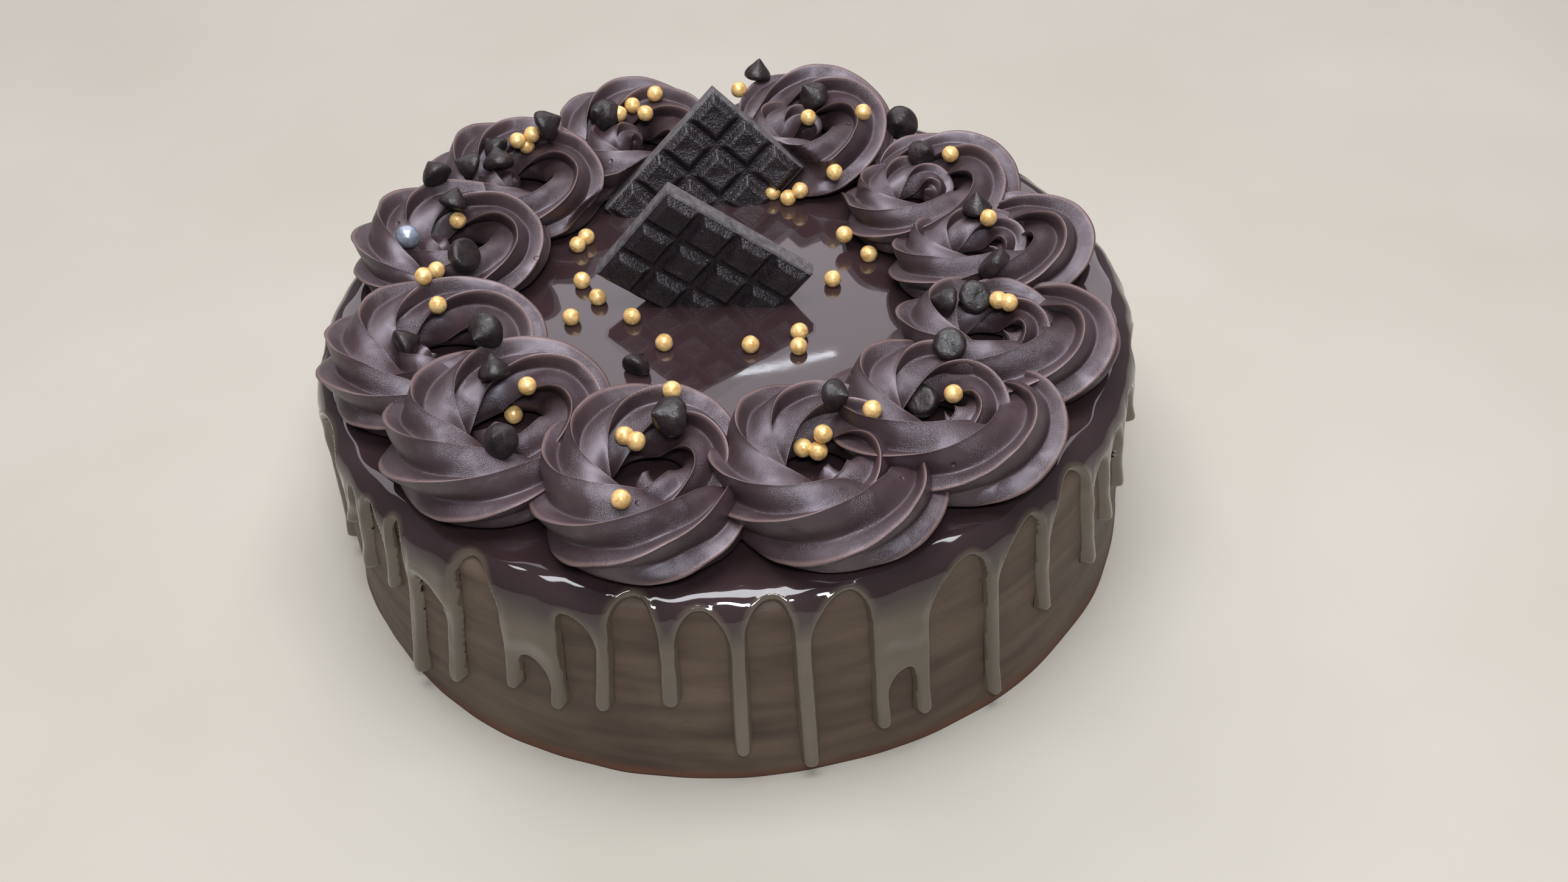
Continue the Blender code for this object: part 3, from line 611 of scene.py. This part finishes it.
def make_glaze(finish):
    """A film over the shoulder whose lower edge runs in arches between drips, and the flat top."""
    drips, arches, edge, middle, half, around = glaze_outline()
    columns = int(around / GLAZE_CELL)
    top = GLAZE_TOP - GLAZE_SHOULDER + GLAZE_SHOULDER * math.pi / 2
    rows = np.concatenate([np.arange(1.5, 52, GLAZE_CELL * 1.2), np.arange(52, top, GLAZE_CELL), [top]])
    x = np.arange(columns) * around / columns
    X, V = np.meshgrid(x, rows)
    inside = np.zeros(X.shape, bool)
    limit = np.full(columns, 1e9)
    for left, peak, right, foot, crown in arches:
        for shift in (0, -around):
            wide = np.where(x < peak + shift, peak - left, right - peak)
            u = (x - (peak + shift)) / wide
            span = (x > left + shift) & (x < right + shift)
            height = foot + (crown - foot) * np.sqrt(np.clip(1 - u * u, 0, 1))
            limit = np.where(span & (np.abs(u) < 1), height, limit)
    inside |= (V > limit[None, :]) | (V > COVERED_FROM)

    def apart(a, b):
        return (a - b + around / 2) % around - around / 2

    def eased(reach, gap, below):
        return reach + max(gap - reach, 0) * float(smooth_step(1 - below / NECK_EASE))

    for i, row in enumerate(drips):
        bulb = row[4] / 2
        centre = row[1] + bulb
        for v_index, v in enumerate(rows):
            if v < row[1] or v > EDGE_SEEN_TO:
                continue
            reach = half(row, v) if v >= centre else math.sqrt(max(bulb**2 - (centre - v) ** 2, 0))
            x0 = middle(row, max(v, centre))
            # Above an arch's foot the glaze fills all between the drip and the arch.
            left = eased(reach, apart(x0, arches[i - 1][2]), arches[i - 1][3] - v)
            right = eased(reach, apart(arches[i][0], x0), arches[i][3] - v)
            away = apart(x, x0)
            inside[v_index] |= (away > -left) & (away < right)
    edge = true_edge(edge, inside, rows, around)
    tree = kdtree.KDTree(3 * len(edge))
    for number, (ex, ev, share) in enumerate(edge):
        for copy, shift in enumerate((0, -around, around)):
            tree.insert((ex + shift, ev, 0), number + copy * len(edge))
    tree.balance()
    film = np.full(X.shape, APRON_FILM)
    distance = np.full(X.shape, FAR_FROM_EDGE)
    places = np.stack([X, V], -1)
    for r, c in zip(*np.nonzero(V < EDGE_SEEN_TO)):
        found, number, far = tree.find((X[r, c], V[r, c], 0))
        distance[r, c] = far if inside[r, c] else -far
        share = edge[number % len(edge)][2]
        film[r, c] = np.interp(share, (0, 1, 2), (APRON_FILM, DRIP_FILM, BULB_FILM))
        if far < EDGE_SNAP:
            places[r, c] = found[0], found[1]
            distance[r, c] = 0.0
    for _ in range(FILM_BLUR):
        film = (np.roll(film, 1, 1) + film + np.roll(film, -1, 1)) / 3
        film[1:-1] = (film[:-2] + film[1:-1] + film[2:]) / 3
    deep = np.clip(distance / EDGE_ROUND, -0.2, 1)
    bead = 0.16 * np.exp(-(((distance - 0.9) / 0.6) ** 2)) * smooth_step((V - 38) / 16)
    rise = np.where(deep > 0, 1 - (1 - deep) ** 2.2 + bead, deep)
    (low_end, low_length), (high_end, high_length) = PILLOW_STARTS, PILLOW_ENDS
    gathered = smooth_step((V - low_end) / low_length) * (1 - smooth_step((V - high_end) / high_length))
    gathered = gathered * smooth_step(distance / PILLOW_INSET)
    thick = (film + PILLOW * gathered) * rise
    # The film evens out up the shoulder.
    turn = places[..., 0] / around * math.tau
    bend = np.clip((places[..., 1] - (GLAZE_TOP - GLAZE_SHOULDER)) / GLAZE_SHOULDER, 0, math.pi / 2)
    inner = GLAZE_SHOULDER - APRON_FILM
    low = np.minimum(places[..., 1], GLAZE_TOP - GLAZE_SHOULDER)
    radius = GLAZE_RADIUS - GLAZE_SHOULDER + (inner + thick) * np.cos(bend)
    height = low + (inner + thick) * np.sin(bend)
    points = np.stack([radius * np.cos(turn), radius * np.sin(turn), height], -1)
    wave = ripple(points.reshape(-1, 3), SIDE_WAVE_LENGTH, 11, 2).reshape(X.shape) * SIDE_WAVE
    wave = wave * smooth_step(distance / 3)
    points[..., 0] += wave * np.cos(turn) * np.cos(bend)
    points[..., 1] += wave * np.sin(turn) * np.cos(bend)
    points[..., 2] += wave * np.sin(bend) * (1 - smooth_step((bend - 1.1) / 0.4))
    faces = grid_faces(len(rows), columns, True)
    far = distance.reshape(-1)
    shown = (far[faces] > -0.6).all(axis=1) & (far[faces] > 0).any(axis=1)
    faces = faces[shown]
    rings = np.array([GLAZE_RADIUS - GLAZE_SHOULDER, 98, 92, 84, 74, 62, 50, 38, 26, 14, 5])[::-1]
    used, index = np.unique(faces.reshape(-1), return_inverse=True)
    vertices = points.reshape(-1, 3)[used]
    faces = index.reshape(-1, 4)
    film_object = mesh_object("glaze_film", vertices, faces, finish)
    store_values(film_object, distance.reshape(-1)[used])
    spokes = 180
    turns = np.linspace(0, math.tau, spokes, endpoint=False)
    disc = np.stack([np.outer(rings, np.cos(turns)), np.outer(rings, np.sin(turns)),
                     np.full((len(rings), spokes), GLAZE_TOP)], -1).reshape(-1, 3)
    calm = smooth_step((99 - np.hypot(disc[:, 0], disc[:, 1])) / 10)
    disc[:, 2] += TOP_WAVE * calm * ripple(disc, TOP_WAVE_LENGTH, 12, 2)
    faces = grid_faces(len(rings), spokes, True).tolist()
    faces = [f[::-1] for f in faces]
    faces.append(list(range(spokes)))
    top_object = mesh_object("glaze_top", disc, faces, finish)
    store_values(top_object, np.full(len(disc), FAR_FROM_EDGE))
    return film_object, top_object


# ---------------------------------------------------------------- rosettes


def ridge_relief(x):
    """Depth of the surface between two crests, 0 on a crest and 1 on the valley's floor, for x from 0 to 1."""
    outer = np.clip(x / VALLEY, 0, 1)
    inner = np.clip((1 - x) / (1 - VALLEY), 0, 1)
    bulge = LIP * (1 - (1 - outer) ** LIP_BLADE) + (1 - LIP) * smooth_step(outer) ** 1.15
    return np.where(x < VALLEY, bulge, 1 - (1 - inner) ** INNER_BLADE)


ROPE_FROM, ROPE_TO = -0.03, 1.05  # shares of the rope's length, its closed ends with it
TIP_FROM, TIP_LENGTH = 0.97, 0.08
START_TO, START_LENGTH = 0.02, 0.05
LEAST_END = 0.0004
CREST_STRAY, LEAST_DEPTH, MOST_DEPTH = 0.09, 0.88, 1.12  # how far the ridges differ
UNDER_FROM, UNDER_EASE, UNDER_THINNER = 0.3, 0.4, 0.1  # the flattened underside


def rope_surface(name):
    """Points of a rosette's rope, sections by places around."""
    direction, distance, size, tail, phase, squeeze, tall = ROSETTES[name]
    outward = math.radians(direction)
    s = np.linspace(ROPE_FROM, ROPE_TO, ROPE_SECTIONS)
    inner = np.clip(s, 0, 1)
    path = size * smooth_steps(inner, ROPE_ALONG, ROPE_PATH)
    radius = size * smooth_steps(inner, ROPE_ALONG, ROPE_RADIUS)
    past = np.clip((s - TIP_FROM) / TIP_LENGTH, 0, 1) + np.clip((START_TO - s) / START_LENGTH, 0, 1)
    radius = radius * np.sqrt(np.clip(1 - past**2, LEAST_END, 1))
    turn = np.radians(tail - SPIRAL * (1 - s))
    middle = GLAZE_TOP + tall * ROPE_HEIGHT * size * smooth_steps(inner, ROPE_ALONG, ROPE_RADIUS)
    chance = np.random.default_rng(int(name[-2:]))
    across = np.tile(ACROSS_RIDGE, RIDGES)
    crest = np.arange(RIDGES) + chance.uniform(-CREST_STRAY, CREST_STRAY, RIDGES)
    starts = np.repeat(crest, len(ACROSS_RIDGE))
    widths = np.repeat(np.diff(np.append(crest, crest[0] + RIDGES)), len(ACROSS_RIDGE))
    compass = ((starts + across * widths) * math.tau / RIDGES + math.radians(phase))[None, :]
    relief = ridge_relief(across)[None, :]
    lean = compass - turn[:, None] + math.pi / 2 + math.radians(HOOK) * (1 - relief) ** 2
    under = np.clip((-np.cos(lean) - UNDER_FROM) / UNDER_EASE, 0, 1)
    uneven = np.repeat(chance.uniform(LEAST_DEPTH, MOST_DEPTH, RIDGES), len(ACROSS_RIDGE))
    depth = RIDGE_DEPTH * uneven * (1 - under) * relief
    reach = radius[:, None] * (1 - depth) * (1 - UNDER_THINNER * under)
    out = np.maximum(path[:, None] + reach * np.sin(lean), NEAREST)
    height = np.maximum(middle[:, None] + tall * reach * np.cos(lean), GLAZE_TOP + ROPE_FLOOR)
    off = turn[:, None] - outward
    along = distance + out * np.cos(off)
    aside = squeeze * out * np.sin(off)
    x = along * math.cos(outward) - aside * math.sin(outward)
    y = along * math.sin(outward) + aside * math.cos(outward)
    return np.stack([x, y, height], -1)


def make_rosette(name, finish):
    points = rope_surface(name)
    flat = points.reshape(-1, 3)
    seed = int(name[-2:])
    flat = flat + 0.25 * np.stack([ripple(flat, 17, 10 * seed + k, 2) for k in range(3)], -1)
    flat = press_behind(flat, "bar_rear")
    sections, around = points.shape[:2]
    faces = grid_faces(sections, around, True).tolist()
    vertices = np.vstack([flat, flat[:around].mean(0), flat[-around:].mean(0)])
    first, last = len(flat), len(flat) + 1
    for j in range(around):
        k = (j + 1) % around
        faces.append((first, k, j))
        faces.append((last, (sections - 1) * around + j, (sections - 1) * around + k))
    made = mesh_object(name + "_cream", vertices, faces, finish)
    along = np.arange(sections)[:, None] / sections
    # Painted highlight mask: 1 on the points of each crest's lip, faded in over the start of the rope.
    lip_highlight_mask = np.isin(np.arange(around) % len(ACROSS_RIDGE), LIP_HIGHLIGHT_POINTS) * smooth_step(along * 8)
    store_values(made, np.append(lip_highlight_mask.reshape(-1), (0, 0)), "lip_highlight")
    return made


def press_behind(points, name):
    """Pushes cream back until a bar and the space in front of it are clear."""
    across, down = BARS[name][4:]
    frame = bar_frame(name)
    local = points @ np.array(frame.inverted())[:3, :3].T + np.array(frame.inverted())[:3, 3]
    aside = np.maximum(np.maximum(-local[:, 0], local[:, 0] - across * SEGMENT), 0)
    above = np.maximum(np.maximum(-local[:, 1], local[:, 1] - down * SEGMENT), 0)
    limit = PRESS_SLOPE * np.hypot(aside, above) - BAR_THICKNESS - 0.4
    near = local[:, 2] < PRESS_REACH
    local[near, 2] = np.minimum(local[:, 2], limit)[near]
    return local @ np.array(frame)[:3, :3].T + np.array(frame)[:3, 3]


# ---------------------------------------------------------------- toppings


def tree_of(obj):
    return BVHTree.FromObject(obj, bpy.context.evaluated_depsgraph_get())


def camera_turn():
    look = Vector(CAMERA_LOOKS).to_track_quat("-Z", "Y").to_matrix()
    return look @ Matrix.Rotation(math.radians(CAMERA_ROLL), 3, "Z")


def resting_place(trees, u, v, clear):
    """The place where a ball of this radius, moved along the line of sight of a pixel, comes to rest."""
    eye = Vector(CAMERA_PLACE)
    way = camera_turn() @ Vector((u - PHOTO_WIDTH / 2, PHOTO_HEIGHT / 2 - v, -FOCAL_PIXELS))
    way.normalize()
    along, last = 380.0, (GLAZE_TOP + clear - eye.z) / way.z
    closest = (1e9, None, None)
    while along < last + 40:
        point = eye + along * way
        found = min((tree.find_nearest(point * MM) for tree in trees), key=lambda hit: hit[3])
        far = found[3] / MM
        if far <= clear + 0.05:
            return point
        if far < closest[0]:
            closest = (far, point, found[0] / MM)
        along += max(0.8 * (far - clear), 0.05)
    far, point, ground = closest
    return ground + (point - ground) * clear / far


def ball(centre, radius, seed, rows=14, columns=22):
    """Points and faces of a slightly uneven ball."""
    up = np.linspace(0, math.pi, rows)
    turn = np.linspace(0, math.tau, columns, endpoint=False)
    unit = np.stack([np.sin(up)[:, None] * np.cos(turn), np.sin(up)[:, None] * np.sin(turn),
                     np.cos(up)[:, None] + 0 * turn], -1).reshape(-1, 3)
    points = unit * radius * (1 + 0.03 * ripple(unit, 2.0, seed, 2))[:, None] + centre
    return points, grid_faces(rows, columns, True)


def make_pearls(name, places, finish):
    vertices, faces, start = [], [], 0
    for number, (x, y, z, radius) in enumerate(places):
        points, quads = ball((x, y, z), radius, 100 + number)
        vertices.append(points)
        faces.append(quads[:, ::-1] + start)
        start += len(points)
    return mesh_object(name, np.vstack(vertices), np.vstack(faces), finish)


def chip_outline(kind):
    """Half of a chip's cross-section from the middle of its foot to its tip, in the chip's sizes."""
    known = np.array(CHIP_OUTLINES[kind])
    at = np.linspace(0, 1, len(known))
    fine = np.linspace(0, 1, 30)
    reach = np.linspace(-0.05, 0.05, 5)
    rounded = [[np.interp(np.clip(fine + r, 0, 1), at, known[:, k]) for k in (0, 1)] for r in reach]
    outline = np.mean([np.stack(pair, -1) for pair in rounded], 0)
    outline[0] = known[0]
    outline[-1] = known[-1]
    return outline


def make_chip(name, kind, middle, size, facing, tilt, finish):
    frame = Matrix.Translation(Vector(middle)) @ Matrix.Rotation(math.radians(facing), 4, "Z")
    frame = np.array(frame @ Matrix.Rotation(math.radians(tilt), 4, "Y"))
    outline = chip_outline(kind) * size
    outline[:, 1] -= 0.45 * outline[-1, 1]
    columns = 40
    turn = np.linspace(0, math.tau, columns, endpoint=False)
    radius, height = outline[:, :1], outline[:, 1:]
    points = np.stack([radius * np.cos(turn), radius * np.sin(turn), height + 0 * turn], -1).reshape(-1, 3)
    seed = int(name[-2:])
    points = points * (1 + 0.05 * ripple(points, 7, 300 + seed, 3))[:, None]
    points = points @ frame[:3, :3].T + frame[:3, 3]
    return mesh_object(name + "_chocolate", points, grid_faces(len(outline), columns, True), finish)


def bar_frame(name):
    apex, facing, lean, dip = BARS[name][:4]
    turn, tilt, slide = math.radians(facing), math.radians(lean), math.radians(dip)
    face = Vector((math.cos(tilt) * math.cos(turn), math.cos(tilt) * math.sin(turn), math.sin(tilt)))
    side = Vector((-face.y, face.x, 0)).normalized()
    up = face.cross(side)
    right = math.cos(slide) * side - math.sin(slide) * up
    left = -math.sin(slide) * side - math.cos(slide) * up
    return Matrix.Translation(Vector(apex)) @ Matrix((right, left, face)).transposed().to_4x4()


def make_bar(name, finish, dust_and_sheen):
    """A moulded plate as one relief: raised segments with sloping flanks on a plate with rounded edges."""
    across, down = BARS[name][4:]
    frame = np.array(bar_frame(name))
    cell = 0.3
    wide, tall = across * SEGMENT, down * SEGMENT
    xs, ys = np.linspace(0, wide, int(wide / cell)), np.linspace(0, tall, int(tall / cell))
    X, Y = np.meshgrid(xs, ys, indexing="ij")

    def edge(at):
        into = at % SEGMENT
        return np.minimum(into, SEGMENT - into)

    inward = np.minimum(edge(X), edge(Y)) - GROOVE
    border = np.minimum(np.minimum(X, wide - X), np.minimum(Y, tall - Y))
    rise = smooth_step(np.clip(inward / SEGMENT_SLOPE, 0, 1))
    dish = 0.35 * np.clip((inward - SEGMENT_SLOPE) / 3, 0, 1)
    rim = -0.35 * np.clip(1 - border / 0.7, 0, 1) ** 2
    front = -SEGMENT_RISE + SEGMENT_RISE * rise - dish + rim
    places = np.stack([X, Y, front], -1).reshape(-1, 3)
    places[:, 2] += 0.10 * ripple(places, 4, 40, 2)
    back = np.stack([X, Y, np.full(X.shape, -BAR_THICKNESS)], -1).reshape(-1, 3)
    count = len(places)
    rows, columns = X.shape
    faces = grid_faces(rows, columns, False)
    loop = [(i, 0) for i in range(rows)] + [(rows - 1, j) for j in range(1, columns)]
    loop += [(i, columns - 1) for i in range(rows - 2, -1, -1)] + [(0, j) for j in range(columns - 2, 0, -1)]
    loop = [i * columns + j for i, j in loop]
    walls = [(here, here + count, after + count, after) for here, after in zip(loop, loop[1:] + loop[:1])]
    points = np.vstack([places, back]) @ frame[:3, :3].T + frame[:3, 3]
    behind = [face[::-1] + count for face in faces]
    obj = mesh_object(name + "_chocolate", points, [*faces, *behind, *walls], finish)
    obj.data.set_sharp_from_angle(angle=math.radians(50))
    obj.data.materials.append(dust_and_sheen)
    # The border and the walls take the paler material: real bloom and wear, and painted sheen.
    outer = np.concatenate([(border < 0.45)[:-1, :-1].reshape(-1), np.ones(len(faces) + len(walls), bool)])
    obj.data.polygons.foreach_set("material_index", outer.astype(np.int32))
    return obj


# ---------------------------------------------------------------- light, floor, camera


def area_light(name, place, size, power, color, target=(0, 0, 40), size_y=None):
    light = bpy.data.lights.new(name, "AREA")
    light.energy = power
    light.color = color
    light.size = size * MM
    if size_y:
        light.shape = "RECTANGLE"
        light.size_y = size_y * MM
    obj = bpy.data.objects.new(name, light)
    bpy.context.scene.collection.objects.link(obj)
    obj.location = Vector(place) * MM
    obj.rotation_euler = (Vector(target) - Vector(place)).to_track_quat("-Z", "Y").to_euler()
    return obj


SKY_COLOUR, SKY_STRENGTH = (0.92, 0.95, 1.0, 1), 0.18
AREA_LIGHTS = (  # name, place, width, power, colour, depth
    ("ceiling", (0, -60, 1250), 1000, 18.5, (0.95, 0.96, 1.0), 640),
    ("lamp", (60, -820, 1010), 420, 9, (0.90, 0.94, 1.0), 150),
    ("wall", (-100, 1500, 1450), 2600, 19, (0.98, 0.93, 1.0), 1300),
)
STRIP_POWER, STRIP_COLOUR, STRIP_WIDTH = 0.17, (0.88, 0.93, 1.0), 18


def make_surroundings():
    corners = [(x * FLOOR_HALF, y * FLOOR_HALF, 0) for x, y in ((-1, -1), (1, -1), (1, 1), (-1, 1))]
    floor = mesh_object("floor", corners, [(0, 1, 2, 3)], floor_material(), False)
    world = bpy.data.worlds.new("soft_light")
    bpy.context.scene.world = world
    world.use_nodes = True
    world.node_tree.nodes["Background"].inputs["Color"].default_value = SKY_COLOUR
    world.node_tree.nodes["Background"].inputs["Strength"].default_value = SKY_STRENGTH
    for name, place, width, power, colour, deep in AREA_LIGHTS:
        area_light(name, place, width, power, colour, size_y=deep)
    left, right = map(Vector, STRIP_ENDS)
    middle = (left + right) / 2
    strip = area_light("strip", middle, (right - left).length, STRIP_POWER, STRIP_COLOUR, size_y=STRIP_WIDTH)
    along = (right - left).normalized()
    up = middle.cross(along).normalized()
    strip.rotation_euler = Matrix((along, up, along.cross(up))).transposed().to_euler()


def make_camera():
    camera = bpy.data.cameras.new("camera")
    camera.sensor_width = SENSOR_WIDTH
    camera.lens = FOCAL_PIXELS / PHOTO_WIDTH * SENSOR_WIDTH
    camera.clip_start = 0.01
    obj = bpy.data.objects.new("camera", camera)
    bpy.context.scene.collection.objects.link(obj)
    obj.matrix_world = Matrix.Translation(Vector(CAMERA_PLACE) * MM) @ camera_turn().to_4x4()
    bpy.context.scene.camera = obj


PEARL_LOOKS = {  # two colours and how metallic it is
    "gold_sugar": ((0.66, 0.38, 0.12), (0.88, 0.60, 0.26), 0.25),
    "silver_sugar": ((0.30, 0.34, 0.42), (0.42, 0.46, 0.55), 0.6),
}


def main():
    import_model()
    make_surroundings()
    make_camera()
    bpy.context.scene.view_settings.view_transform = "Standard"
    cream, glossy, scraped = cream_material(), glaze_material(), side_material()
    dark, moulded, dust_and_sheen = chip_material(), bar_material(), bar_edge_material()
    gold, silver = [pearl_material(name, *look) for name, look in PEARL_LOOKS.items()]

    body = make_cake(scraped)
    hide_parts("cake")
    pieces = [body]
    film, top = make_glaze(glossy)
    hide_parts("glaze")
    pieces += [film, top]

    trees = []
    for name in ROSETTES:
        made = make_rosette(name, cream)
        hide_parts(name)
        pieces.append(made)
        trees.append(tree_of(made))
    trees.append(tree_of(top))
    golden = [(*resting_place(trees, u, v, PEARL - PEARL_SINK), PEARL) for u, v in GOLD_SEEN]
    pearls = make_pearls("gold_pearls", golden, gold)
    spot = resting_place(trees, *SILVER_SEEN, SILVER_PEARL - PEARL_SINK)
    lone = make_pearls("silver_pearl", [(*spot, SILVER_PEARL)], silver)
    pieces += [pearls, lone]
    for number, (kind, u, v, size, facing, tilt) in enumerate(CHIPS, 1):
        node = f"chip_{number:02d}"
        spot = resting_place(trees, u, v, CHIP_CLEAR * size)
        made = make_chip(node, kind, spot, size, facing, tilt, dark)
        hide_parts(node)
        pieces.append(made)
    for name in BARS:
        made = make_bar(name, moulded, dust_and_sheen)
        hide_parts(name)
        pieces.append(made)
    for piece in pieces:
        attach(piece, "root")


main()
